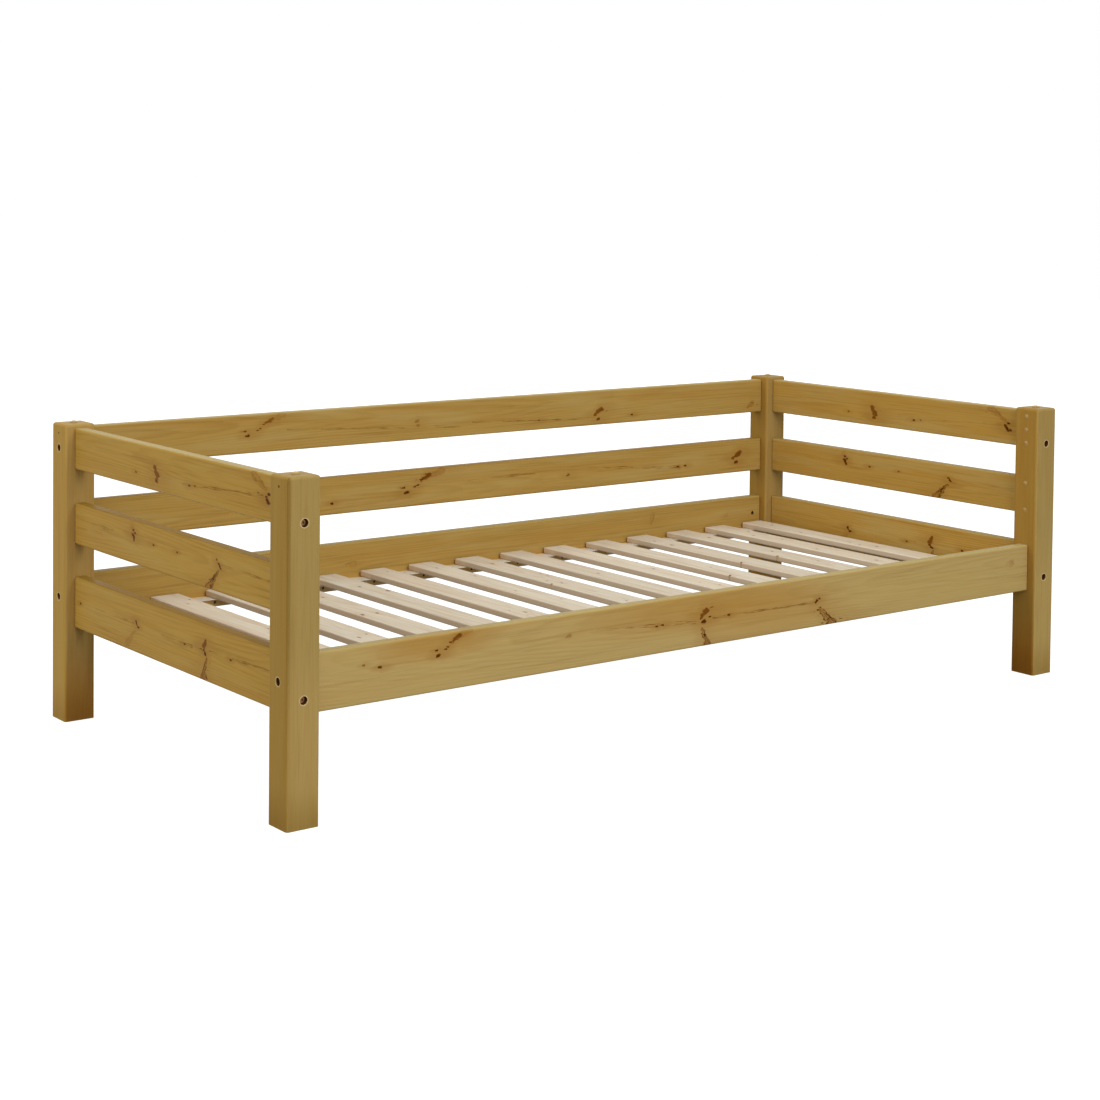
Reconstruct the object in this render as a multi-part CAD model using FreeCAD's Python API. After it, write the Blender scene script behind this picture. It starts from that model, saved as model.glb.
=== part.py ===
import FreeCAD, Part
import os

# Child's daybed in solid pine: square posts, butt-jointed rails and a lift-out slat base.
# Millimetres. X runs along the bed, -Y is the open front, +Z is up.
# The origin is on the floor, under the middle of the bed.

# Overall sizes
overall_length = 2104.0
overall_width = 1004.0
post_height = 638.0
post_side = 68.0
post_edge_radius = 6.0

# Rails
rail_thickness = 26.0
rail_edge_radius = 4.0
bottom_rail_height = 110.0
upper_rail_height = 88.0
bottom_rail_floor_gap = 202.0

# Rows of joint holes, on one drilling grid that every post shares
row_pitch = 32.0
lowest_row_above_rail_foot = 32.0
highest_row_below_post_top = 20.0

# Dowels
dowel_diameter = 8.0
dowel_post_depth = 24.0
dowel_rail_depth = 24.0
dowel_end_clearance = 0.5

# Connector bolts, their washers and barrel nuts
bolt_diameter = 6.0
bolt_hole_diameter = 7.0
bolt_head_diameter = 12.0
bolt_head_height = 5.0
bolt_socket_width = 5.0
bolt_socket_depth = 3.0
bolt_tip_past_nut = 8.0
bolt_tip_clearance = 2.0
counterbore_diameter = 16.0
counterbore_depth = 13.0
washer_diameter = 15.0
washer_thickness = 1.2
nut_diameter = 10.0
nut_length = 18.0
nut_from_rail_end = 28.0
nut_slot_width = 1.4
nut_slot_depth = 1.6
fit_clearance = 0.1

# Post tops and the blanked holes for a front guard rail
top_plug_diameter = 18.0
top_plug_rise = 5.0
top_plug_stem_diameter = 10.0
top_plug_stem_length = 10.0
guard_plug_diameter = 11.0
guard_plug_rise = 1.6
guard_plug_stem_length = 12.0
accessory_hole_diameter = 5.0
accessory_hole_depth = 12.0

# Ledgers and their screws
ledger_depth = 30.0
ledger_height = 20.0
ledger_edge_radius = 2.0
ledger_above_rail_foot = 7.0
ledger_end_gap = 2.0
ledger_screw_count = 13
ledger_screw_margin = 142.0
screw_diameter = 4.0
screw_head_diameter = 6.6
screw_head_height = 2.4
screw_recess_width = 0.9
screw_recess_span = 4.0
screw_recess_depth = 1.2
screw_counterbore_diameter = 7.0
screw_counterbore_depth = 5.0
screw_bite = 14.0

# Slat base: slats stapled to two webbing straps
slat_count = 15
slat_width = 68.0
slat_thickness = 14.0
slat_edge_radius = 3.0
slat_end_gap = 6.0
slat_post_gap = 3.0
strap_width = 35.0
strap_thickness = 1.2
strap_from_slat_end = 12.0
base_seat_gap = 0.3
staple_wire = 1.0
staple_width = 10.0
staple_bite = 8.0
staple_from_strap_edge = 9.0

# Places worked out from the sizes
post_x = (overall_length - post_side) / 2.0
post_y = (overall_width - post_side) / 2.0
post_inner_x = overall_length / 2.0 - post_side
long_rail_length = overall_length - 2.0 * post_side
end_rail_length = overall_width - 2.0 * post_side
rail_inner_y = post_y - rail_thickness / 2.0
lowest_row = bottom_rail_floor_gap + lowest_row_above_rail_foot
highest_row = post_height - highest_row_below_post_top
rail_step = (highest_row - 2.0 * row_pitch - lowest_row) / 2.0
ledger_foot = bottom_rail_floor_gap + ledger_above_rail_foot
ledger_top = ledger_foot + ledger_height
strap_foot = ledger_top + base_seat_gap
slat_foot = strap_foot + strap_thickness
slat_length = 2.0 * (rail_inner_y - slat_end_gap)
slat_first_x = slat_post_gap + slat_width / 2.0 - post_inner_x
slat_pitch = -2.0 * slat_first_x / (slat_count - 1)
slat_middles = [slat_first_x + slat_pitch * place for place in range(slat_count)]
strap_outer_y = slat_length / 2.0 - strap_from_slat_end
strap_inner_y = strap_outer_y - strap_width
staple_y = strap_inner_y + staple_from_strap_edge

along_x = FreeCAD.Vector(1, 0, 0)
along_y = FreeCAD.Vector(0, 1, 0)
along_z = FreeCAD.Vector(0, 0, 1)
origin = FreeCAD.Vector(0, 0, 0)


def block(low, high):
    """Box between two corners."""
    size = [high[axis] - low[axis] for axis in range(3)]
    return Part.makeBox(*size, FreeCAD.Vector(*low))


def rounded_block(low, high, radius):
    """Box between two corners with every edge rounded over."""
    shape = block(low, high)
    return shape.makeFillet(radius, shape.Edges)


def rod(start, direction, length, diameter):
    """Round bar, or the tool for a hole, from its start along a direction."""
    return Part.makeCylinder(diameter / 2.0, length, FreeCAD.Vector(*start), direction)


def domed_plug(diameter, rise, stem_diameter, stem_length):
    """Mushroom plug on the Z axis: its dome stands above z = 0 and its stem reaches below."""
    reach = diameter / 2.0
    stem = stem_diameter / 2.0
    dome_radius = (reach * reach + rise * rise) / (2.0 * rise)
    dome_middle = rise - dome_radius
    halfway = FreeCAD.Vector(reach / 2.0, 0, rise / 2.0) - FreeCAD.Vector(0, 0, dome_middle)
    crown = FreeCAD.Vector(0, 0, dome_middle) + halfway.normalize() * dome_radius
    corners = [(0, -stem_length), (stem, -stem_length), (stem, 0), (reach, 0)]
    points = [FreeCAD.Vector(x, 0, z) for x, z in corners]
    edges = [Part.LineSegment(a, b).toShape() for a, b in zip(points, points[1:])]
    top = FreeCAD.Vector(0, 0, rise)
    edges.append(Part.Arc(points[-1], crown, top).toShape())
    edges.append(Part.LineSegment(top, points[0]).toShape())
    return Part.Face(Part.Wire(edges)).revolve(origin, along_z, 360)


def hexagon_prism(width, length):
    """Six-sided bar on the Z axis, measured across its flats, starting at z = 0."""
    corner = width / 3.0 ** 0.5
    points = [FreeCAD.Vector(corner, 0, 0)]
    turn = FreeCAD.Rotation(along_z, 60)
    for side in range(6):
        points.append(turn.multVec(points[-1]))
    return Part.Face(Part.makePolygon(points)).extrude(FreeCAD.Vector(0, 0, length))


def rows(level):
    """Heights of the hole rows of one rail level: 0 bottom, 1 middle, 2 top."""
    lowest = lowest_row + level * rail_step
    return [lowest + row_pitch * row for row in range(3)]


def rail_heights(level):
    """Lower and upper edge of a rail; the upper rails are centred on their middle row."""
    if level == 0:
        return bottom_rail_floor_gap, bottom_rail_floor_gap + bottom_rail_height
    middle = rows(level)[1]
    return middle - upper_rail_height / 2.0, middle + upper_rail_height / 2.0


class Rail:
    """One rail with its own frame: it lies along X, and its ends meet two posts.

    bolt_row is the hole row of its two bolts, or None where dowels alone hold it.
    nut_face is the side of the rail, -1 or 1 in its own Y, where the nut holes open.
    """

    def __init__(self, name, level, along, side, bolt_row, nut_face):
        self.name = name
        self.level = level
        self.along = along
        self.side = side
        self.bolt_row = bolt_row
        self.nut_face = nut_face
        self.length = long_rail_length if along == "x" else end_rail_length

    def placed(self, shape):
        """Takes a shape from the rail's frame to the bed's frame."""
        moved = shape.copy()
        if self.along == "x":
            moved.translate(FreeCAD.Vector(0, self.side * post_y, 0))
        else:
            moved.rotate(origin, along_z, 90)
            moved.translate(FreeCAD.Vector(self.side * post_x, 0, 0))
        return moved

    def post_key(self, end):
        """Sides, in X and Y, of the post at one end of the rail."""
        return (end, self.side) if self.along == "x" else (self.side, end)

    def dowel_rows(self):
        """Hole rows with dowels: the two that the bolt leaves, or the outer two."""
        skipped = 1 if self.bolt_row is None else self.bolt_row
        return [height for row, height in enumerate(rows(self.level)) if row != skipped]

    def bolt_height(self):
        return rows(self.level)[self.bolt_row]

    def end_point(self, end, outward, height):
        """Point on the rail's centre line, a distance past its end, at a height."""
        return (end * (self.length / 2.0 + outward), 0, height)

    def dowels(self):
        """Dowels at both ends, half in the rail and half in the post."""
        length = dowel_post_depth + dowel_rail_depth
        made = []
        for end in (-1, 1):
            for height in self.dowel_rows():
                start = self.end_point(end, -dowel_rail_depth, height)
                made.append(rod(start, along_x * end, length, dowel_diameter))
        return made

    def dowel_holes(self, end):
        """Tools for the dowel holes at one end, through rail and post alike."""
        length = dowel_post_depth + dowel_rail_depth + 2.0 * dowel_end_clearance
        diameter = dowel_diameter + 2.0 * fit_clearance
        start_depth = dowel_rail_depth + dowel_end_clearance
        tools = []
        for height in self.dowel_rows():
            start = self.end_point(end, -start_depth, height)
            tools.append(rod(start, along_x * end, length, diameter))
        return tools

    def bolt_holes(self, end):
        """Tools for the bolt hole at one end and for its counterbore in the post."""
        if self.bolt_row is None:
            return []
        height = self.bolt_height()
        depth = nut_from_rail_end + bolt_tip_past_nut + bolt_tip_clearance
        start = self.end_point(end, -depth, height)
        seat = self.end_point(end, post_side - counterbore_depth, height)
        return [
            rod(start, along_x * end, depth + post_side, bolt_hole_diameter),
            rod(seat, along_x * end, counterbore_depth, counterbore_diameter),
        ]

    def nut_place(self, end):
        """Where the bolt's axis meets the barrel nut's axis."""
        return self.end_point(end, -nut_from_rail_end, self.bolt_height())

    def nut_holes(self, end):
        """Tool for the blind hole that takes the barrel nut."""
        if self.bolt_row is None:
            return []
        x, y, z = self.nut_place(end)
        start = (x, -self.nut_face * (nut_length / 2.0 + fit_clearance), z)
        length = rail_thickness / 2.0 + nut_length / 2.0 + fit_clearance
        return [rod(start, along_y * self.nut_face, length, nut_diameter + 2.0 * fit_clearance)]

    def solid(self):
        """The rail itself, drilled at both ends."""
        low, high = rail_heights(self.level)
        half_length = self.length / 2.0
        half_thickness = rail_thickness / 2.0
        corners = (-half_length, -half_thickness, low), (half_length, half_thickness, high)
        bar = rounded_block(*corners, rail_edge_radius)
        tools = []
        for end in (-1, 1):
            tools += self.dowel_holes(end) + self.bolt_holes(end) + self.nut_holes(end)
        return bar.cut(tools)

    def bolts(self):
        """Connector bolts with a hexagon socket in the head."""
        made = []
        grip = washer_thickness + post_side - counterbore_depth
        length = grip + nut_from_rail_end + bolt_tip_past_nut
        for end in (-1, 1):
            under_head = post_side - counterbore_depth + washer_thickness
            seat = self.end_point(end, under_head, self.bolt_height())
            tip = self.end_point(end, under_head - length, self.bolt_height())
            head = rod(seat, along_x * end, bolt_head_height, bolt_head_diameter)
            shank = rod(tip, along_x * end, length, bolt_diameter)
            socket = hexagon_prism(bolt_socket_width, bolt_socket_depth)
            socket.rotate(origin, along_y, 90 * end)
            floor = under_head + bolt_head_height - bolt_socket_depth
            socket.translate(FreeCAD.Vector(*self.end_point(end, floor, self.bolt_height())))
            made.append(head.fuse(shank).removeSplitter().cut(socket))
        return made

    def washers(self):
        """Flat washers on the floor of each counterbore."""
        made = []
        for end in (-1, 1):
            seat = self.end_point(end, post_side - counterbore_depth, self.bolt_height())
            disc = rod(seat, along_x * end, washer_thickness, washer_diameter)
            made.append(disc.cut(rod(seat, along_x * end, washer_thickness, bolt_hole_diameter)))
        return made

    def nuts(self):
        """Barrel nuts across the rail, each with a cross hole and a slot to turn it by."""
        made = []
        for end in (-1, 1):
            x, y, z = self.nut_place(end)
            start = (x, -self.nut_face * nut_length / 2.0, z)
            barrel = rod(start, along_y * self.nut_face, nut_length, nut_diameter)
            bore_diameter = bolt_diameter + 2.0 * fit_clearance
            bore = rod((x - nut_diameter, 0, z), along_x, 2.0 * nut_diameter, bore_diameter)
            outer = self.nut_face * nut_length / 2.0
            inner = outer - self.nut_face * nut_slot_depth
            low = (x - nut_diameter, min(outer, inner), z - nut_slot_width / 2.0)
            high = (x + nut_diameter, max(outer, inner), z + nut_slot_width / 2.0)
            made.append(barrel.cut([bore, block(low, high)]))
        return made


# The two ends are alike and face the same way, so their nut holes all open towards +X.
rails = [
    Rail("left_top_rail", 2, "y", -1, 0, -1),
    Rail("left_middle_rail", 1, "y", -1, None, -1),
    Rail("left_bottom_rail", 0, "y", -1, 0, -1),
    Rail("right_top_rail", 2, "y", 1, 0, -1),
    Rail("right_middle_rail", 1, "y", 1, None, -1),
    Rail("right_bottom_rail", 0, "y", 1, 0, -1),
    Rail("back_top_rail", 2, "x", 1, 1, 1),
    Rail("back_middle_rail", 1, "x", 1, None, 1),
    Rail("back_bottom_rail", 0, "x", 1, 1, -1),
    Rail("front_rail", 0, "x", -1, 1, 1),
]
bolted_rails = [rail for rail in rails if rail.bolt_row is not None]

post_names = {
    (-1, -1): "front_left_post",
    (1, -1): "front_right_post",
    (-1, 1): "back_left_post",
    (1, 1): "back_right_post",
}


def guard_plug_heights():
    """Rows on the front posts that a guard rail would use."""
    middle = rows(1)
    return rows(2) + [middle[0], middle[2]]


def post(side_x, side_y):
    """Square post with rounded edges and all its holes."""
    half = post_side / 2.0
    x = side_x * post_x
    y = side_y * post_y
    body = block((x - half, y - half, 0), (x + half, y + half, post_height))
    above_foot = [edge for edge in body.Edges if edge.BoundBox.ZMax > post_height / 2.0]
    body = body.makeFillet(post_edge_radius, above_foot)
    tools = []
    for rail in rails:
        for end in (-1, 1):
            if rail.post_key(end) == (side_x, side_y):
                tools += [rail.placed(tool) for tool in rail.dowel_holes(end) + rail.bolt_holes(end)]
    stem_hole = top_plug_stem_length + dowel_end_clearance
    stem_diameter = top_plug_stem_diameter + 2.0 * fit_clearance
    tools.append(rod((x, y, post_height - stem_hole), along_z, stem_hole, stem_diameter))
    floor_x = side_x * (overall_length / 2.0 - accessory_hole_depth)
    accessory_floor = (floor_x, y, highest_row)
    tools.append(rod(accessory_floor, along_x * side_x, accessory_hole_depth, accessory_hole_diameter))
    if side_y < 0:
        depth = guard_plug_stem_length + dowel_end_clearance
        diameter = dowel_diameter + 2.0 * fit_clearance
        floor_x = side_x * (post_inner_x + depth)
        for height in guard_plug_heights():
            tools.append(rod((floor_x, y, height), along_x * -side_x, depth, diameter))
    return body.cut(tools)


def post_top_plugs():
    """Domed plugs, one in the top of each post."""
    made = []
    for side_x, side_y in post_names:
        plug = domed_plug(top_plug_diameter, top_plug_rise, top_plug_stem_diameter, top_plug_stem_length)
        plug.translate(FreeCAD.Vector(side_x * post_x, side_y * post_y, post_height))
        made.append(plug)
    return made


def guard_rail_plugs():
    """Small plugs in the unused guard rail holes of the two front posts."""
    made = []
    for side_x in (-1, 1):
        for height in guard_plug_heights():
            plug = domed_plug(guard_plug_diameter, guard_plug_rise, dowel_diameter, guard_plug_stem_length)
            plug.rotate(origin, along_y, -90 * side_x)
            plug.translate(FreeCAD.Vector(side_x * post_inner_x, -post_y, height))
            made.append(plug)
    return made


def ledger_screw_places():
    """X of the screws along a ledger."""
    first = ledger_end_gap + ledger_screw_margin - post_inner_x
    pitch = -2.0 * first / (ledger_screw_count - 1)
    return [first + pitch * place for place in range(ledger_screw_count)]


def ledger_screw_holes(side_y):
    """Tools for the screw holes through a ledger and into the rail behind it."""
    face = side_y * (rail_inner_y - ledger_depth)
    height = ledger_foot + ledger_height / 2.0
    depth = ledger_depth + screw_bite + dowel_end_clearance
    tools = []
    for x in ledger_screw_places():
        start = (x, face, height)
        tools.append(rod(start, along_y * side_y, screw_counterbore_depth, screw_counterbore_diameter))
        tools.append(rod(start, along_y * side_y, depth, screw_diameter + 2.0 * fit_clearance))
    return tools


def ledger(side_y):
    """Strip along a long rail's inner face, which carries the slat ends."""
    half = post_inner_x - ledger_end_gap
    faces = sorted((side_y * rail_inner_y, side_y * (rail_inner_y - ledger_depth)))
    strip = rounded_block((-half, faces[0], ledger_foot), (half, faces[1], ledger_top), ledger_edge_radius)
    return strip.cut(ledger_screw_holes(side_y))


def ledger_screws():
    """Cross-head screws, sunk below the ledger's face."""
    made = []
    height = ledger_foot + ledger_height / 2.0
    length = ledger_depth - screw_counterbore_depth + screw_bite
    for side_y in (-1, 1):
        seat = side_y * (rail_inner_y - ledger_depth + screw_counterbore_depth)
        face = seat - side_y * screw_head_height
        recess = sorted((face, face + side_y * screw_recess_depth))
        for x in ledger_screw_places():
            head = rod((x, face, height), along_y * side_y, screw_head_height, screw_head_diameter)
            shank = rod((x, seat, height), along_y * side_y, length, screw_diameter)
            arms = []
            level_arm = (screw_recess_span, screw_recess_width)
            for wide, tall in (level_arm, level_arm[::-1]):
                low = (x - wide / 2.0, recess[0], height - tall / 2.0)
                high = (x + wide / 2.0, recess[1], height + tall / 2.0)
                arms.append(block(low, high))
            made.append(head.fuse(shank).removeSplitter().cut(arms))
    return made


def staple_legs(x, side_y, growth):
    """The two legs of a staple, or the tools for their holes when growth is more than 0."""
    half = staple_wire / 2.0 + growth
    foot = strap_foot - staple_wire
    top = slat_foot + staple_bite + growth
    legs = []
    for end in (-1, 1):
        leg_x = x + end * (staple_width - staple_wire) / 2.0
        y = side_y * staple_y
        legs.append(block((leg_x - half, y - half, foot), (leg_x + half, y + half, top)))
    return legs


def staples():
    """Wire staples that hold the straps to the slats from below."""
    made = []
    half = staple_wire / 2.0
    for x in slat_middles:
        for side_y in (-1, 1):
            y = side_y * staple_y
            low = (x - staple_width / 2.0, y - half, strap_foot - staple_wire)
            crown = block(low, (x + staple_width / 2.0, y + half, strap_foot))
            made.append(crown.fuse(staple_legs(x, side_y, 0.0)).removeSplitter())
    return made


def slat(x):
    """One slat across the bed, pierced by its staples."""
    half_width = slat_width / 2.0
    half_length = slat_length / 2.0
    low = (x - half_width, -half_length, slat_foot)
    high = (x + half_width, half_length, slat_foot + slat_thickness)
    legs = staple_legs(x, -1, fit_clearance) + staple_legs(x, 1, fit_clearance)
    return rounded_block(low, high, slat_edge_radius).cut(legs)


def strap(side_y):
    """Webbing strap under one row of slat ends, from the first slat to the last."""
    reach = slat_width / 2.0 - slat_first_x
    edges = sorted((side_y * strap_inner_y, side_y * strap_outer_y))
    band = block((-reach, edges[0], strap_foot), (reach, edges[1], slat_foot))
    legs = [leg for x in slat_middles for leg in staple_legs(x, side_y, fit_clearance)]
    return band.cut(legs)


def gathered(kind):
    """All of one kind of hardware, from every rail that has it."""
    users = rails if kind == "dowels" else bolted_rails
    return [rail.placed(piece) for rail in users for piece in getattr(rail, kind)()]


def build():
    """Every node of the bed by name."""
    nodes = {name: post(*sides) for sides, name in post_names.items()}
    ledger_sides = {"front_rail": -1, "back_bottom_rail": 1}
    for rail in rails:
        shape = rail.placed(rail.solid())
        if rail.name in ledger_sides:
            shape = shape.cut(ledger_screw_holes(ledger_sides[rail.name]))
        nodes[rail.name] = shape
    nodes["front_ledger"] = ledger(-1)
    nodes["back_ledger"] = ledger(1)
    nodes["ledger_screws"] = Part.makeCompound(ledger_screws())
    nodes["rail_dowels"] = Part.makeCompound(gathered("dowels"))
    nodes["connector_bolts"] = Part.makeCompound(gathered("bolts"))
    nodes["bolt_washers"] = Part.makeCompound(gathered("washers"))
    nodes["barrel_nuts"] = Part.makeCompound(gathered("nuts"))
    nodes["post_top_plugs"] = Part.makeCompound(post_top_plugs())
    nodes["guard_rail_plugs"] = Part.makeCompound(guard_rail_plugs())
    for place, x in enumerate(slat_middles, start=1):
        nodes["slat_%02d" % place] = slat(x)
    nodes["front_strap"] = strap(-1)
    nodes["back_strap"] = strap(1)
    nodes["strap_staples"] = Part.makeCompound(staples())
    return nodes


os.makedirs("parts", exist_ok=True)
for node, shape in build().items():
    shape.exportStep("parts/%s.step" % node)
    print(node, len(shape.Solids), "solids", round(shape.Volume / 1000.0, 1), "cm3", shape.isValid())
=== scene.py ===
# %% [markdown]
# # A child's daybed in stained pine
#
# The bed's shapes come from a CAD model that is loaded as a fixed frame: posts, rails, ledgers, slats and
# hardware, each a mesh in metres with its place already in its vertices. This lesson gives them their
# looks. Nearly all of that is wood, so most cells build one pine material step by step, from growth rings
# to knots.

# %% Load the frame
import math

import bpy
import numpy as np
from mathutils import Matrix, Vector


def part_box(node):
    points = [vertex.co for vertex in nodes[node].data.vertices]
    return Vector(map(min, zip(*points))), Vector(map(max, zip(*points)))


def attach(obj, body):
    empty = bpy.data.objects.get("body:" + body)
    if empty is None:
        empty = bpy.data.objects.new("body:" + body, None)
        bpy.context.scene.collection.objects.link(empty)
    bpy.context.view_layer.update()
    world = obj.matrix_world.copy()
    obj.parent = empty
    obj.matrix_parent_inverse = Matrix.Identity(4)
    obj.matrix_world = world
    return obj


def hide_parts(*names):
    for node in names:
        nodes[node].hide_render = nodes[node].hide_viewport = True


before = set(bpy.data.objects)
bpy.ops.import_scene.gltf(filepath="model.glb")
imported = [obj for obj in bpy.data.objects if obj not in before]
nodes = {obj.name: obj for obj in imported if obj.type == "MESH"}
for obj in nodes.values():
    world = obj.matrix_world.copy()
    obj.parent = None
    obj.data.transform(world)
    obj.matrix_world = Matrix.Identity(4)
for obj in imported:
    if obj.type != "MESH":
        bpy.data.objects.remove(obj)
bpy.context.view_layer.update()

# %% [markdown]
# ## Short hands for shader nodes
#
# A material is a graph of small nodes. Wiring each by hand takes three lines a node, so this helper adds
# one, fills its inputs and returns its output. An input may be a number, a vector or another output.

# %% A helper that wires nodes
class Wiring:
    """Adds nodes to one node tree and joins them."""

    def __init__(self, tree):
        self.tree = tree

    def fill(self, socket, value):
        """Links an output to the socket, or sets the socket's own value."""
        if isinstance(value, bpy.types.NodeSocket):
            self.tree.links.new(value, socket)
        else:
            socket.default_value = value

    def node(self, kind, *values, **settings):
        """A node of that kind, its inputs filled in order; None leaves an input alone."""
        made = self.tree.nodes.new(kind)
        for name, value in settings.items():
            setattr(made, name, value)
        for socket, value in zip(made.inputs, values):
            if value is not None:
                self.fill(socket, value)
        return made

    def labelled(self, kind, values, **settings):
        """A node of that kind, its inputs filled by their labels."""
        made = self.node(kind, **settings)
        for label, value in values.items():
            self.fill(made.inputs[label], value)
        return made

    def place(self):
        """The point that is shaded, in the piece's own coordinates."""
        return self.node("ShaderNodeTexCoord").outputs["Object"]

    def math(self, operation, *values):
        return self.node("ShaderNodeMath", *values, operation=operation).outputs[0]

    def vector(self, operation, *values):
        """Vector maths; the length and the dot product come out as numbers."""
        made = self.node("ShaderNodeVectorMath", *values, operation=operation)
        scalar = operation in ("LENGTH", "DOT_PRODUCT")
        return made.outputs["Value" if scalar else "Vector"]

    def scaled(self, vector, amount):
        return self.vector("SCALE", vector, None, None, amount)

    def parts(self, vector):
        """The three numbers of a vector."""
        return self.node("ShaderNodeSeparateXYZ", vector).outputs

    def fade(self, value, start, end):
        """0 below start and 1 above end with a smooth rise; start may be the larger."""
        made = self.node("ShaderNodeMapRange", value, start, end, interpolation_type="SMOOTHSTEP")
        return made.outputs[0]

    def patches(self, point, scale, detail=2.0, roughness=0.5):
        """Noise, as a number and as a colour. A scale of three numbers has one for each axis."""
        if isinstance(scale, tuple):
            point = self.vector("MULTIPLY", point, scale)
            scale = 1.0
        return self.node("ShaderNodeTexNoise", point, None, scale, detail, roughness).outputs

    def noise(self, point, scale, detail=2.0, roughness=0.5):
        """Noise as a number from 0 to 1."""
        return self.patches(point, scale, detail, roughness)[0]

    def blend(self, factor, first, second):
        """Colour that goes from first to second as factor goes from 0 to 1.

        A Mix node has sockets for every kind of data; those numbered here are the ones for colours.
        """
        made = self.node("ShaderNodeMix", data_type="RGBA")
        for place, value in ((0, factor), (6, first), (7, second)):
            self.fill(made.inputs[place], value)
        return made.outputs[2]

    def tinted(self, shade, tint, mask, share):
        """The shade moved towards a tint by a share of a mask."""
        return self.blend(self.math("MULTIPLY", mask, share), shade, tint)

    def stained(self, shade, filter_colour, mask):
        """The shade multiplied by a filter's colour where the mask is 1."""
        return self.blend(mask, shade, self.vector("MULTIPLY", shade, filter_colour))

    def surface(self, values):
        """Ends a material in a principled surface, its inputs filled by their labels."""
        made = self.labelled("ShaderNodeBsdfPrincipled", values)
        self.fill(self.node("ShaderNodeOutputMaterial").inputs["Surface"], made.outputs[0])


print("wiring helper ready")

# %% Colours, groups and empty materials
def colour(red, green, blue):
    """Shader colour from the 0 to 255 numbers of a colour picker: undoes the screen's gamma curve."""
    shares = np.array((red, green, blue)) / 255.0
    linear = np.where(shares <= 0.04045, shares / 12.92, ((shares + 0.055) / 1.055) ** 2.4)
    return (*linear, 1.0)


def new_group(name, inputs, outputs):
    """An empty node group with Float and Vector sockets, and the wiring for its inside."""
    tree = bpy.data.node_groups.new(name, "ShaderNodeTree")
    for side, sockets in (("INPUT", inputs), ("OUTPUT", outputs)):
        for label, kind in sockets.items():
            tree.interface.new_socket(label, in_out=side, socket_type=f"NodeSocket{kind}")
    wiring = Wiring(tree)
    given = wiring.node("NodeGroupInput").outputs
    result = wiring.node("NodeGroupOutput").inputs
    return tree, wiring, given, result


def blank_material(name):
    """A material with an empty node tree, and the wiring for it."""
    material = bpy.data.materials.new(name)
    material.use_nodes = True
    material.node_tree.nodes.clear()
    return material, Wiring(material.node_tree)


print("white is", colour(255, 255, 255))

# %% [markdown]
# ## Knots and resin marks
#
# A knot is a branch that the saw cut through. Cut across, it is a dark eye. Cut along, it is a spike that
# widens from the pith to the edge of the board, amber inside with dark bark lines at both sides. A resin
# line is long and thin. All three are one shape here: a line between two points of the board's face, with
# a girth that grows from its start to its end. One node group measures how far a point is from that line,
# in girths, and adds its mark to those of the group before it, so marks can be chained.

# %% How a mark is drawn
along_grain_share = 0.35
ragged_scale = (60.0, 170.0, 170.0)
ragged_roughness = 0.55
wobble_size = (4.0, 4.0, 0.0)
line_scale = (26.0, 620.0)
line_offset = 900.0
line_cover = (0.46, 0.64)
inside_edge = (1.25, 0.65)
solid_edge = (1.15, 0.4)
rim_middle = 0.85
rim_reach = (0.35, 0.02)
rim_cover = (0.40, 0.64)
speck_cover = (0.62, 0.74)
speck_reach = (1.8, 1.0)
halo_reach = (4.5, 0.7)
bend_reach = (5.0, 1.0)
least_fill = (0.0, 0.1)
line_share, rim_share, speck_share = 0.8, 0.75, 0.8
amber_middle, amber_rise = 0.6, 0.4
hair_share = 1.0e-6
print("a halo reaches", halo_reach[0], "girths")

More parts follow.
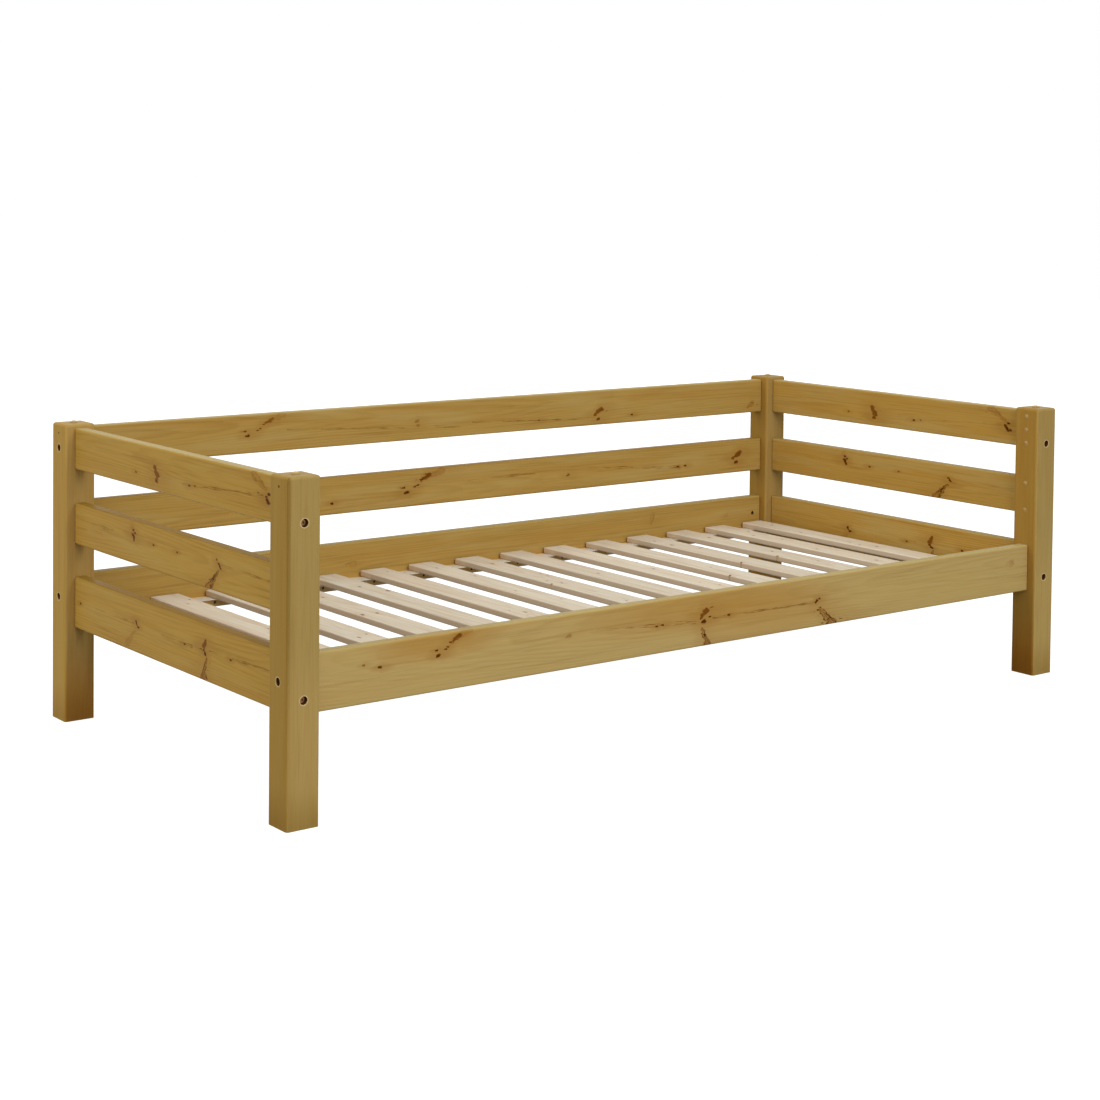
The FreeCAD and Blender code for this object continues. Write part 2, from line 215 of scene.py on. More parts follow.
# %% One mark on a board
def make_mark_group():
    """Distance to a line, divided by a girth that grows along it, puts the mark's edge at 1.

    along   = how far along the line the nearest point is, from 0 to 1
    girth   = half width times (taper + (1 - taper) along)
    edge    = distance to the line divided by the girth
    lateral = distance to one side of the line, from the cross product; it draws lines that follow the mark
    spread  = edge again, with distances along the grain counted at a third, for what the grain draws out
    Fill is the amber inside, Ink the dark sides, inner lines and specks, Solid a dark core.
    The point is handed on moved by a millionth of the bend. That can't be seen, but it makes each mark
    wait for the one before it, so a long chain needs little memory while it renders.
    """
    inputs = {"Point": "Vector", "Start": "Vector", "End": "Vector", "Half width": "Float",
              "Taper": "Float", "Fill": "Float", "Ink": "Float", "Solid": "Float", "Ragged": "Float",
              "Bend": "Vector", "Amber": "Float", "Dark": "Float", "Halo": "Float"}
    outputs = {"Point": "Vector", "Bend": "Vector", "Amber": "Float", "Dark": "Float", "Halo": "Float"}
    tree, w, given, result = new_group("board mark", inputs, outputs)
    half_width = given["Half width"]
    flat = w.vector("MULTIPLY", given["Point"], (1.0, 1.0, 0.0))
    fine = w.patches(given["Point"], ragged_scale, roughness=ragged_roughness)
    wobble = w.vector("MULTIPLY", w.vector("SUBTRACT", fine["Color"], (0.5, 0.5, 0.5)), wobble_size)
    wobble = w.scaled(wobble, w.math("MULTIPLY", half_width, given["Ragged"]))
    reach = w.vector("SUBTRACT", w.vector("ADD", flat, wobble), given["Start"])
    line = w.vector("SUBTRACT", given["End"], given["Start"])
    length = w.vector("LENGTH", line)
    along = w.math("DIVIDE", w.vector("DOT_PRODUCT", reach, line), w.vector("DOT_PRODUCT", line, line))
    along = w.node("ShaderNodeClamp", along).outputs[0]
    away = w.vector("SUBTRACT", reach, w.scaled(line, along))
    growth = w.math("MULTIPLY_ADD", along, w.math("SUBTRACT", 1.0, given["Taper"]), given["Taper"])
    girth = w.math("MULTIPLY", half_width, growth)
    edge = w.math("DIVIDE", w.vector("LENGTH", away), girth)
    drawn = w.vector("LENGTH", w.vector("MULTIPLY", away, (along_grain_share, 1.0, 1.0)))
    spread = w.math("DIVIDE", drawn, girth)
    sideways = w.parts(w.vector("CROSS_PRODUCT", line, reach))[2]
    lateral = w.math("DIVIDE", sideways, length)

    inside = w.fade(edge, *inside_edge)
    lane_along = w.math("MULTIPLY", w.math("MULTIPLY", along, length), line_scale[0])
    lane_across = w.math("MULTIPLY", lateral, line_scale[1])
    lane_start = w.math("MULTIPLY", half_width, line_offset)
    lanes = w.node("ShaderNodeCombineXYZ", lane_along, lane_across, lane_start).outputs[0]
    lines = w.math("MULTIPLY", w.fade(w.noise(lanes, 1.0), *line_cover), inside)
    from_rim = w.math("ABSOLUTE", w.math("SUBTRACT", edge, rim_middle))
    rim = w.math("MULTIPLY", w.fade(from_rim, *rim_reach), w.fade(fine["Color"], *rim_cover))
    specks = w.math("MULTIPLY", w.fade(fine[0], *speck_cover), w.fade(spread, *speck_reach))
    around = w.math("MAXIMUM", w.math("MULTIPLY", rim, rim_share), w.math("MULTIPLY", specks, speck_share))
    around = w.math("MULTIPLY", around, w.fade(given["Fill"], *least_fill))
    ink = w.math("MAXIMUM", w.math("MULTIPLY", lines, line_share), around)
    ink = w.math("MULTIPLY", ink, given["Ink"])
    solid = w.math("MULTIPLY", w.fade(edge, *solid_edge), given["Solid"])
    amber = w.math("MULTIPLY", inside, w.math("MULTIPLY_ADD", edge, amber_rise, amber_middle))
    weight = w.math("MAXIMUM", given["Fill"], given["Solid"])
    halo = w.math("MULTIPLY", w.fade(spread, *halo_reach), weight)
    push = w.math("MULTIPLY", girth, w.fade(spread, *bend_reach))
    bend = w.scaled(w.vector("NORMALIZE", away), push)
    all_bend = w.vector("ADD", given["Bend"], bend)
    all_dark = w.math("MAXIMUM", given["Dark"], w.math("MAXIMUM", ink, solid))
    w.fill(result["Bend"], all_bend)
    w.fill(result["Amber"], w.math("MAXIMUM", given["Amber"], w.math("MULTIPLY", amber, given["Fill"])))
    w.fill(result["Dark"], all_dark)
    w.fill(result["Halo"], w.math("MAXIMUM", given["Halo"], halo))
    hair = w.scaled(all_bend, w.math("MULTIPLY", all_dark, hair_share))
    w.fill(result["Point"], w.vector("ADD", given["Point"], hair))
    return tree


mark_group = make_mark_group()
print("mark group nodes:", len(mark_group.nodes))

# %% [markdown]
# ## Pine from its growth rings
#
# A board is a slice of a trunk, so its pattern is worked out in the trunk: every point has a distance
# from the pith, and each few millimetres of that distance is one year, pale spring wood that darkens to a
# thin line of summer wood. The board's faces then show straight lines, arches or end-grain arcs by
# themselves, wherever the surface cuts the rings, also round an edge or in a drilled hole. A picture of
# wood couldn't do that.

# %% The growth-ring group
seed_shift = (3.7, 5.1, 2.3)
long_wander = (1.1, 9.0, 9.0)
ring_wander = 0.010
jitter_scale = (9.0, 160.0, 160.0)
year_jitter = 0.55
late_rise = (0.25, 0.88)
late_fall = (1.0, 0.9)
strength_scale = (2.5, 30.0, 30.0)
strength_cover = (0.2, 0.75)
fibre_stretch = (0.012, 1.0, 1.0)
fibre_scale = 1400.0
grain_scale = (4.5, 230.0, 230.0)
tone_scale = (3.0, 26.0, 26.0)
warmth_scale = (1.6, 34.0, 34.0)


def make_pine_group():
    """Pale and dark wood from the distance to a pith line that leans a little as it runs along the board.

    Point is (along the grain, across the face, through the thickness) in metres.
    year = distance from the pith divided by the ring width
    late = a rise to 1 over the last part of each year, and a quick fall after it
    """
    inputs = {"Point": "Vector", "Bend": "Vector", "Pith": "Vector", "Lean": "Vector",
              "Ring width": "Float", "Seed": "Float"}
    outputs = dict.fromkeys(("Late", "Fibre", "Grain", "Tone", "Warmth"), "Float")
    tree, w, given, result = new_group("pine rings", inputs, outputs)
    point = w.vector("ADD", given["Point"], w.scaled(seed_shift, given["Seed"]))
    wander = w.vector("SUBTRACT", w.patches(point, long_wander)["Color"], (0.5, 0.5, 0.5))
    wander = w.vector("MULTIPLY", wander, (0.0, 2.0 * ring_wander, 2.0 * ring_wander))
    along = w.parts(given["Point"])[0]
    pith = w.vector("ADD", given["Pith"], w.scaled(given["Lean"], along))
    spoke = w.vector("SUBTRACT", w.vector("SUBTRACT", given["Point"], given["Bend"]), pith)
    spoke = w.vector("MULTIPLY", w.vector("ADD", spoke, wander), (0.0, 1.0, 1.0))
    year = w.math("DIVIDE", w.vector("LENGTH", spoke), given["Ring width"])
    year = w.math("ADD", year, w.math("MULTIPLY", w.noise(point, jitter_scale), year_jitter))
    within = w.math("FRACT", year)
    late = w.math("MULTIPLY", w.fade(within, *late_rise), w.fade(within, *late_fall))
    strength = w.fade(w.noise(point, strength_scale), *strength_cover)
    w.fill(result["Late"], w.math("MULTIPLY", late, strength))
    fibres = w.vector("MULTIPLY", point, fibre_stretch)
    w.fill(result["Fibre"], w.noise(fibres, fibre_scale, detail=3.0, roughness=0.65))
    w.fill(result["Grain"], w.noise(point, grain_scale, detail=3.0, roughness=0.62))
    w.fill(result["Tone"], w.noise(point, tone_scale, detail=3.0, roughness=0.55))
    w.fill(result["Warmth"], w.noise(point, warmth_scale, detail=2.0, roughness=0.6))
    return tree


pine_group = make_pine_group()
print("pine group nodes:", len(pine_group.nodes))

# %% [markdown]
# ## Colours of the two woods
#
# The frame is stained pine and the slat base is bare. Each wood has a pale and a dark colour for the two
# parts of a year, a warm and a pale one for slow patches, and three for its knots. Each side of the bed
# has its own mix, as the stain differs a little from side to side; the left and right mixes are also
# warmer and more saturated, as painted shade for ends that face away from the front light. Narrow sides
# have a tint of their own too, and it is painted light and shade: the sides of the slats are darker as
# painted shade between the slats, the tops of the top and front rails are paler as a painted highlight,
# and the tops of the lower rails are darker as painted shade under the rails above, three of them more so.
# One wood for all would be simpler, but the bed would look moulded.

# %% Stained and bare pine
stain = {
    "early": colour(176, 143, 75),
    "late": colour(146, 107, 48),
    "warm": colour(169, 125, 56),
    "pale": colour(181, 155, 94),
    "halo": colour(150, 104, 42),
    "amber": colour(138, 78, 0),
    "dark": colour(66, 34, 2),
}
front_stain = dict(stain, early=colour(180, 154, 97), late=colour(160, 128, 70), warm=colour(177, 144, 82))
# The left and right mixes are partly the stain and partly painted shade: warmer and more saturated, for
# ends that face away from the front light.
left_stain_and_shade = dict(stain, early=colour(178, 141, 64), late=colour(148, 105, 38), pale=colour(181, 149, 78))
right_stain_and_shade = dict(stain, early=colour(180, 142, 68), late=colour(150, 107, 42), warm=colour(175, 127, 50))
post_stain = dict(stain, early=colour(178, 150, 88), late=colour(156, 123, 63), warm=colour(172, 136, 70))
bare = {
    "early": colour(227, 215, 192),
    "late": colour(202, 178, 148),
    "warm": colour(217, 189, 157),
    "pale": colour(228, 221, 203),
    "halo": colour(206, 180, 150),
    "amber": colour(158, 122, 88),
    "dark": colour(70, 48, 32),
}
# The ledgers are warmer than bare pine, as the wood looks, and brighter than it as painted light, for the
# light that reaches them under the slats.
ledger_pine_and_light = dict(bare, early=colour(240, 198, 122), late=colour(214, 158, 82),
                   warm=colour(234, 180, 102))
raw_wood = colour(222, 192, 142)
hole_shade = colour(92, 60, 26)

# A narrow side's tint is a colour and its share: painted shade on the slats' sides, a painted highlight on
# the tops of the top and front rails, painted shade on the tops of the lower rails, deeper on three.
slat_side_shade = (colour(206, 180, 148), 0.75)
rail_top_highlight = (colour(176, 164, 114), 0.6)
rail_top_shade = (colour(146, 130, 74), 0.6)
rail_top_deep_shade = (colour(137, 104, 36), 0.8)
print("wood colours:", len(stain), "stained,", len(bare), "bare")

# %% [markdown]
# ## Faces, edges and holes of a board
#
# Stain lies on a board's surface, so the colour depends on where a point is in the board. A painter would
# mask faces with tape. Here the masks come from the board's box: how far a point lies under each pair of
# faces tells a face from an edge or from the wall of a drilled hole. Hole walls are painted dark, as
# painted shade deep in the hole, and edges are painted paler, as a painted highlight on the rounding.

# %% Masks from a board's box
mm = 0.001
skin_depth = 1.8 * mm
skin_fade = 0.6 * mm
edge_reach = (6.0 * mm, 1.0 * mm)
side_skin = (1.4 * mm, 0.6 * mm)
side_margin = (0.8 * mm, 2.6 * mm)
flat_fade = (-2.0 * mm, 2.0 * mm)
rim_width = 2.0 * mm
rim_solid = 0.8 * mm
rim_tint_share = 0.75


def box_masks(w, where, low, high, order):
    """Four masks: cut is under the skin, edge near two faces, side on the narrow sides, flat square to X.

    under = half the box's size less the distance from its middle, for each axis.
    """
    inward = w.vector("ABSOLUTE", w.vector("SUBTRACT", where, tuple((low + high) / 2.0)))
    inward = w.vector("SUBTRACT", tuple((high - low) / 2.0), inward)
    under = w.parts(inward)
    least = w.math("MINIMUM", under[0], w.math("MINIMUM", under[1], under[2]))
    cut = w.fade(least, skin_depth, skin_depth + skin_fade)
    first_two = w.math("MINIMUM", w.math("MAXIMUM", under[0], under[1]), under[2])
    second = w.math("MAXIMUM", w.math("MINIMUM", under[0], under[1]), first_two)
    edge = w.fade(second, *edge_reach)
    side = w.math("MULTIPLY", w.fade(under[order[1]], *side_skin), w.fade(under[order[2]], *side_margin))
    flat = w.fade(w.math("SUBTRACT", under[1], under[0]), *flat_fade)
    return cut, edge, side, flat


def hole_rims(w, where, low, high, holes):
    """Pale rings where a drill broke the stain. A hole is (axis it was drilled along, height, radius).

    ring = 1 where the distance from the hole's axis is its radius and a little more, in the face's skin.
    """
    middle, half = (low + high) / 2.0, (high - low) / 2.0
    rims = 0.0
    for axis, height, radius in holes:
        offset = w.vector("SUBTRACT", where, (middle[0], middle[1], height))
        seen = [1.0, 1.0, 1.0]
        seen[axis] = 0.0
        distance = w.vector("LENGTH", w.vector("MULTIPLY", offset, seen))
        ring = w.fade(distance, radius + rim_width, radius + rim_solid)
        outside = w.math("ABSOLUTE", w.parts(offset)[axis])
        skin = w.fade(outside, half[axis] - skin_depth, half[axis] - skin_depth / 2.0)
        rims = w.math("MAXIMUM", rims, w.math("MULTIPLY", ring, skin))
    return w.math("MULTIPLY", rims, rim_tint_share)


print("skin:", skin_depth, "m, hole rims:", rim_width, "m")

# %% [markdown]
# ## Painted light and shade on the posts
#
# A post's faces and feet get painted light and shade. Its faces square to X are darker and more
# saturated, painted shade for sides turned from the front light, and those that look to the middle of the
# bed are a little redder, painted bounce light from the stained rails. The feet differ again: paler
# outside, painted light from the floor; darker inside, painted shade under the bed; and darker still just
# over the floor, painted contact shade. On one post the outer upright edge is darker, painted shade on its
# rounding. Each of these multiplies the wood's colour by a filter, so that the grain stays visible under
# it.

# %% Filters for the posts
# All of these filters paint light and shade: shade on faces square to X, bounce light on inner faces,
# floor light on the outer feet, shade on the inner feet and contact shade just over the floor.
x_face_shade = (0.99, 0.88, 0.56)
inner_bounce_light = (1.0, 0.93, 0.88)
inner_skin = (4.0 * mm, 1.0 * mm)
outer_foot_light = (1.13, 1.13, 1.14)
flat_foot_light = (1.0, 1.0, 0.95)
inner_foot_shade = (0.84, 0.66, 0.44)
floor_contact_shade = (0.80, 0.74, 0.60)
outer_reach = (0.38, 0.20)
inner_reach = (0.20, 0.03)
contact_shade_reach = (0.09, 0.0)
corner_shade_filter = (0.66, 0.64, 0.54)
corner_reach = (7.5 * mm, 2.6 * mm)
corner_rise = (-0.1, 0.45)


def post_shade(w, shade, where, low, high, flat):
    """The shade of a post, with painted light and shade on its faces and foot; the masks of the foot fade
    out with height.
    """
    middle, half = (low + high) / 2.0, (high - low) / 2.0
    shade = w.stained(shade, x_face_shade, flat)
    towards = w.vector("MULTIPLY", w.vector("SUBTRACT", tuple(middle), where), tuple(np.sign(middle)))
    inwards = w.parts(towards)
    skin_start, skin_end = (half[0] - depth for depth in inner_skin)
    inner = w.fade(w.math("MAXIMUM", inwards[0], inwards[1]), skin_start, skin_end)
    height = w.parts(where)[2]
    shade = w.stained(shade, inner_bounce_light, inner)
    outer_filter = w.blend(flat, (*outer_foot_light, 1.0), (*flat_foot_light, 1.0))
    outside = w.stained(shade, outer_filter, w.fade(height, *outer_reach))
    inside = w.stained(shade, inner_foot_shade, w.fade(height, *inner_reach))
    shade = w.blend(inner, outside, inside)
    return w.stained(shade, floor_contact_shade, w.fade(height, *contact_shade_reach))


def corner_shade(w, shade, where, corner):
    """Painted shade along the rounding of an upright edge at the place (x, y), more of it higher up."""
    offset = w.vector("MULTIPLY", w.vector("SUBTRACT", where, (*corner, 0.0)), (1.0, 1.0, 0.0))
    near = w.fade(w.vector("LENGTH", offset), *corner_reach)
    edge_shade_mask = w.math("MULTIPLY", near, w.fade(w.parts(where)[2], *corner_rise))
    return w.stained(shade, corner_shade_filter, edge_shade_mask)


print("feet fade out between", outer_reach[1], "and", outer_reach[0], "m")

# %% [markdown]
# ## One material for each board
#
# Each board gets its own material, because its grain runs its own way and its knots lie in their own
# places. One shared material with random colours would be shorter, but no knot could then be put where it
# belongs. The layers go on in this order: the rings, slow patches of warm and pale wood, the stain of its
# faces with the painted light and shade of a post, a painted highlight on its edges, its knots, and last
# the painted light and shade of its narrow sides, the pale rims of its holes and painted shade on the
# walls of its holes.

# %% Rings, warm zones and marks
pith_shift = 0.35
pith_depth = (0.045, 0.075)
pith_lean = (0.012, 0.028)
sideways_lean = 0.3
ring_widths = (0.0028, 0.0040)
seed_step = 1.37
zone_edge = (1.0, 0.2)
halo_share = 0.45
rust_share = 0.8
ink_power = 1.4


def ring_figure(w, point, bend, middle, width, seed):
    """The pine group around a pith line that is drawn at random, to one side of the board."""
    rng = np.random.default_rng(seed)
    shift = rng.uniform(-pith_shift, pith_shift) * width
    depth = rng.choice((-1.0, 1.0)) * rng.uniform(*pith_depth)
    lean = rng.uniform(*pith_lean) * rng.choice((-1.0, 1.0))
    rings = w.labelled("ShaderNodeGroup", {
        "Point": point, "Bend": bend, "Pith": (0.0, middle[1] + shift, middle[2] + depth),
        "Lean": (0.0, sideways_lean * lean, lean), "Ring width": rng.uniform(*ring_widths),
        "Seed": seed * seed_step}, node_tree=pine_group)
    return rings.outputs


def zone_shade(w, shade, point, zones):
    """Warmer ovals on the face, each a middle, a reach and a strength: 1 in the middle, 0 at the reach."""
    for middle, reach, strength in zones:
        offset = w.vector("SUBTRACT", point, (*middle, 0.0))
        radius = w.vector("LENGTH", w.vector("MULTIPLY", offset, (1.0 / reach[0], 1.0 / reach[1], 0.0)))
        shade = w.tinted(shade, stain["warm"], w.fade(radius, *zone_edge), strength)
    return shade


def mark_shade(w, shade, chain, tints):
    """Halo, amber and ink of the marks. Thin ink is rust brown, and only thick ink is dark."""
    shade = w.tinted(shade, tints["halo"], chain["Halo"], halo_share)
    shade = w.blend(chain["Amber"], shade, tints["amber"])
    shade = w.tinted(shade, tints["amber"], chain["Dark"], rust_share)
    return w.blend(w.math("POWER", chain["Dark"], ink_power), shade, tints["dark"])


print("growth rings:", ring_widths[0], "to", ring_widths[1], "m wide")

# %% The board material
grain_orders = {"x": (0, 2, 1), "y": (1, 2, 0), "z": (2, 0, 1), "flat y": (1, 0, 2)}
no_marks = {"Bend": (0.0, 0.0, 0.0), "Amber": 0.0, "Dark": 0.0, "Halo": 0.0}
grain_cover, grain_gain = (0.52, 0.74), 1.3
warm_cover, warm_share = (0.42, 0.75), 0.45
pale_cover, pale_share = (0.55, 0.3), 0.5
post_edge_highlight, rail_edge_highlight = 0.1, 0.3
plain_light, grain_shadow, fibre_light = 0.98, -0.2, 0.24
fibre_roughness, hole_roughness = 0.16, 0.3
fibre_bump = {"Strength": 0.25, "Distance": 0.3 * mm}
wood_shine = 0.03


def board_material(name, node, grain, tints, marks, seed, contrast, gloss,
                   lightness=1.0, zones=(), side_tint=None, holes=(), corner=None):
    """Pine for one node. grain names the axis that the wood runs along; marks lie on its broad face.

    lightness scales the colour: below 1 the wood took more stain. zones are warmer ovals on the face.
    side_tint paints light and shade on the narrow sides. holes have pale rims. At corner, an upright edge
    gets painted shade.
    """
    material, w = blank_material(name)
    low, high = (np.array(end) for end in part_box(node))
    order = list(grain_orders[grain])
    where = w.place()
    axes = w.parts(where)
    point = w.node("ShaderNodeCombineXYZ", *(axes[axis] for axis in order)).outputs[0]
    chain = {"Point": point, **no_marks}
    for each in marks:
        step = w.labelled("ShaderNodeGroup", {**each, **chain}, node_tree=mark_group)
        chain = {label: step.outputs[label] for label in chain}
    middle = ((low + high) / 2.0)[order]
    figure = ring_figure(w, point, chain["Bend"], middle, (high - low)[order[1]], seed)
    late, fibre, grain_lines, tone, warmth = figure

    shade = w.tinted(tints["early"], tints["late"], late, contrast)
    shade = w.tinted(shade, tints["late"], w.fade(grain_lines, *grain_cover), grain_gain * contrast)
    shade = w.tinted(shade, tints["warm"], w.fade(warmth, *warm_cover), warm_share)
    shade = w.tinted(shade, tints["pale"], w.fade(tone, *pale_cover), pale_share)
    shade = zone_shade(w, shade, point, zones)
    cut, edge, side, flat = box_masks(w, where, low, high, order)
    is_post = grain == "z"
    if is_post:
        shade = post_shade(w, shade, where, low, high, flat)
    if corner:
        shade = corner_shade(w, shade, where, corner)
    # Rounded edges get a painted highlight, paler; on rails with deep painted shade on top, their edges
    # get that shade instead.
    painted_edge_tone = side_tint[0] if side_tint == rail_top_deep_shade else tints["pale"]
    shade = w.tinted(shade, painted_edge_tone, edge, post_edge_highlight if is_post else rail_edge_highlight)
    light = w.math("MULTIPLY_ADD", grain_lines, grain_shadow, plain_light)
    light = w.math("MULTIPLY_ADD", fibre, fibre_light, light)
    shade = w.scaled(shade, w.math("MULTIPLY", light, lightness))
    shade = mark_shade(w, shade, chain, tints)
    # The tint of the narrow sides is painted light and shade.
    if side_tint:
        shade = w.tinted(shade, side_tint[0], side, side_tint[1])
    if holes:
        shade = w.blend(hole_rims(w, where, low, high, holes), shade, raw_wood)
    # Under the skin, in holes, the colour is painted shade.
    shade = w.blend(cut, shade, hole_shade)

    rough = w.math("MULTIPLY_ADD", fibre, fibre_roughness, gloss - 0.5 * fibre_roughness)
    rough = w.math("MULTIPLY_ADD", cut, hole_roughness, rough)
    bump = w.labelled("ShaderNodeBump", {**fibre_bump, "Height": fibre}).outputs[0]
    w.surface({"Base Color": shade, "Roughness": rough, "Normal": bump, "Specular IOR Level": wood_shine})
    return material


def dress(node, material):
    """Puts a material in every slot of a CAD node."""
    mesh = nodes[node].data
    mesh.materials.clear()
    mesh.materials.append(material)


print("grain runs:", list(grain_orders))

# %% [markdown]
# ## Where the knots are
#
# The marks are what makes one board differ from the next, so they are placed one by one, in millimetres
# of the bed's own frame: first along the board, then across it. Random places would be quicker, but a
# pine board is known by its knots. The two ends share their larger marks, and the right end's resin lines
# are fainter.

# %% Four kinds of mark
def mark(start, end, half_width, taper, fill, ink, solid, ragged):
    """Inputs of one mark, from millimetres."""
    return {"Start": (start[0] * mm, start[1] * mm, 0.0), "End": (end[0] * mm, end[1] * mm, 0.0),
            "Half width": half_width * mm, "Taper": taper, "Fill": fill, "Ink": ink, "Solid": solid,
            "Ragged": ragged}


def eye(along, across, size=3.0, depth=1.0, tilt=0.0):
    """Knot cut across: a small dark spot, a little longer along the grain unless tilted."""
    slope = (size * math.cos(math.radians(tilt)), size * math.sin(math.radians(tilt)))
    start = (along - slope[0], across - slope[1])
    end = (along + slope[0], across + slope[1])
    return mark(start, end, half_width=1.2 * size, taper=0.7,
                fill=0.6 * depth, ink=0.6 * depth, solid=0.95 * depth, ragged=0.5)


def oval(start, end, half_width=5.0, depth=0.9):
    """Knot cut at a slant: a brown oval with streaks inside."""
    return mark(start, end, half_width=1.3 * half_width, taper=0.7,
                fill=0.9 * depth, ink=1.1 * depth, solid=0.65 * depth, ragged=0.6)


def branch(start, end, half_width=8.0, fill=0.7, ink=0.5):
    """Knot cut along: an amber spike that widens towards its end."""
    return mark(start, end, half_width=1.1 * half_width, taper=0.4,
                fill=0.65 * fill, ink=1.7 * ink, solid=0.0, ragged=0.35)


def streak(start, end, half_width=4.0, depth=0.55):
    """Resin along the grain: a narrow band of broken fine lines."""
    return mark(start, end, half_width=3.0 * half_width, taper=0.5,
                fill=0.0, ink=1.15 * depth, solid=0.0, ragged=0.1)


print("kinds of mark: eye, oval, branch, streak")

# %% Marks of the rails
end_marks = {
    "top": [
        oval((60, 590), (48, 573), 6.0, 0.85), eye(51, 563, 3.8, 0.8, 20), eye(143, 571, 2.0, 0.7),
        streak((-60, 571), (-372, 588), 1.4, 0.6), eye(-88, 571, 2.4, 0.9), eye(-111, 573, 2.0, 0.7),
        eye(-391, 580, 4.4, 1.0, 45), eye(-386, 588, 2.2, 0.9), eye(-397, 593, 3.0),
        eye(-403, 577, 2.6, 0.9, 10), eye(-357, 591, 1.8, 0.6),
        branch((-386, 600), (-340, 624), 9, 0.45, 0.25)],
    "middle": [
        eye(153, 451, 2.6, 0.95), eye(146, 446, 2.4, 0.9), eye(152, 436, 4.4, 1.0, 60),
        eye(158, 442, 2.4, 0.9), branch((148, 434), (158, 458), 8, 0.35, 0.0), eye(64, 434, 2.2, 0.9),
        eye(-38, 434, 2.0, 0.7), eye(-207, 437, 2.4), eye(-213, 431, 3.0, 1.0, 40),
        eye(-199, 444, 1.8, 0.7), branch((-204, 420), (-162, 382), 9, 0.8, 0.75),
        streak((-215, 436), (-420, 434), 1.2, 0.5), streak((420, 441), (250, 436), 1.4, 0.4),
        streak((420, 418), (300, 423), 1.2, 0.35)],
    "bottom": [
        eye(403, 259, 1.9), eye(138, 263, 3.2, 1.0, 60), eye(131, 256, 2.6),
        branch((144, 246), (182, 214), 8, 0.4, 0.15), oval((-157, 280), (-148, 267), 4.6, 0.9),
        eye(-155, 255, 3.2, 1.0, 30), eye(-149, 261, 2.2, 0.9),
        branch((-160, 246), (-144, 204), 8, 0.75, 0.75), streak((25, 260), (-100, 260), 1.4, 0.6),
        eye(-70, 259, 2.2, 0.8), streak((-170, 264), (-420, 270), 1.3, 0.5), eye(-256, 262, 2.2),
        streak((330, 260), (150, 262), 1.2, 0.4)],
}
rail_marks = {
    "front_rail": [
        eye(-844, 266, 2.6, 0.9), eye(-880, 275, 1.8, 0.6), eye(-714, 271, 3.2, 1.0, 10),
        eye(-718, 281, 2.0), eye(-697, 281, 2.0, 0.9), eye(-692, 285, 1.8, 0.8), eye(-686, 293, 1.8, 0.8),
        oval((-680, 295), (-665, 304), 3.4, 0.95), branch((-684, 293), (-640, 316), 8, 0.4, 0.1),
        eye(-402, 269, 4.0, 0.3), streak((-330, 271), (-70, 256), 1.5, 0.6), eye(-175, 259, 2.0),
        eye(-159, 260, 2.2), oval((-54, 265), (-38, 277), 5.2, 0.95), eye(-47, 253, 4.0, 1.0, 10),
        eye(-30, 262, 1.8), branch((-50, 238), (-32, 198), 8, 0.8, 0.9), eye(24, 259, 2.2),
        streak((-20, 258), (280, 257), 1.3, 0.55), eye(281, 257, 3.2, 1.0, 50), eye(290, 263, 1.8, 0.8),
        branch((292, 240), (332, 202), 11, 0.8, 0.95), branch((908, 274), (924, 273), 9, 0.15, 0.2)],
    "back_top_rail": [
        eye(-604, 582, 3.4, 1.0, 10), eye(-610, 593, 2.0, 0.8), eye(-578, 593, 2.0, 0.8),
        eye(-571, 597, 1.8, 0.7), eye(-562, 606, 2.0, 0.8), oval((-556, 609), (-538, 617), 3.0, 0.7),
        branch((-548, 611), (-510, 626), 7, 0.35, 0.1), eye(-144, 587, 4.0, 0.35, 20),
        eye(-141, 577, 3.0, 0.35), streak((-500, 590), (-20, 566), 1.3, 0.4), eye(222, 566, 2.2, 0.8),
        oval((403, 570), (425, 583), 4.8, 0.85), eye(413, 557, 3.2, 0.85, 10), eye(524, 562, 2.2),
        streak((20, 574), (400, 560), 1.3, 0.45), branch((932, 556), (950, 566), 6, 0.6, 0.4)],
    "back_middle_rail": [
        eye(-381, 409, 2.6), eye(-173, 416, 4.0, 1.0, 10), eye(-180, 429, 2.4), eye(-149, 429, 2.2),
        eye(-140, 432, 2.2), eye(-128, 445, 2.2, 0.9), oval((-130, 444), (-106, 455), 4.2, 1.0),
        branch((-124, 447), (-70, 462), 8, 0.55, 0.2), eye(316, 420, 3.4, 0.6, 20),
        streak((360, 436), (690, 412), 1.5, 0.65), eye(684, 413, 2.2), eye(710, 414, 2.4),
        oval((880, 423), (905, 435), 5.2, 0.95), eye(892, 410, 3.6, 0.95, 10),
        streak((10, 431), (210, 434), 1.4, 0.5), branch((-600, 400), (-650, 440), 7, 0.25, 0.2)],
    "back_bottom_rail": [
        branch((-340, 262), (-318, 260), 6, 0.25, 0.2), branch((594, 270), (600, 290), 7, 0.25, 0.2),
        branch((850, 266), (862, 268), 5, 0.25, 0.1)],
}
faint = 0.4
least_knot = 2.3 * mm
for level, marks in end_marks.items():
    rail_marks[f"left_{level}_rail"] = marks
    paler = [dict(each, Ink=each["Ink"] * (1.0 if each["Fill"] else faint)) for each in marks]
    larger = [each for each in paler if each["Half width"] > least_knot or not each["Fill"]]
    rail_marks[f"right_{level}_rail"] = larger
print("marks on rails:", sum(len(marks) for marks in rail_marks.values()))

# %% [markdown]
# ## Posts and rails
#
# A board's grain always runs along its length: upwards in the posts, along the bed in the back and front
# rails, and across it in the ends. The posts are clear wood, so they have no knots and a softer figure.

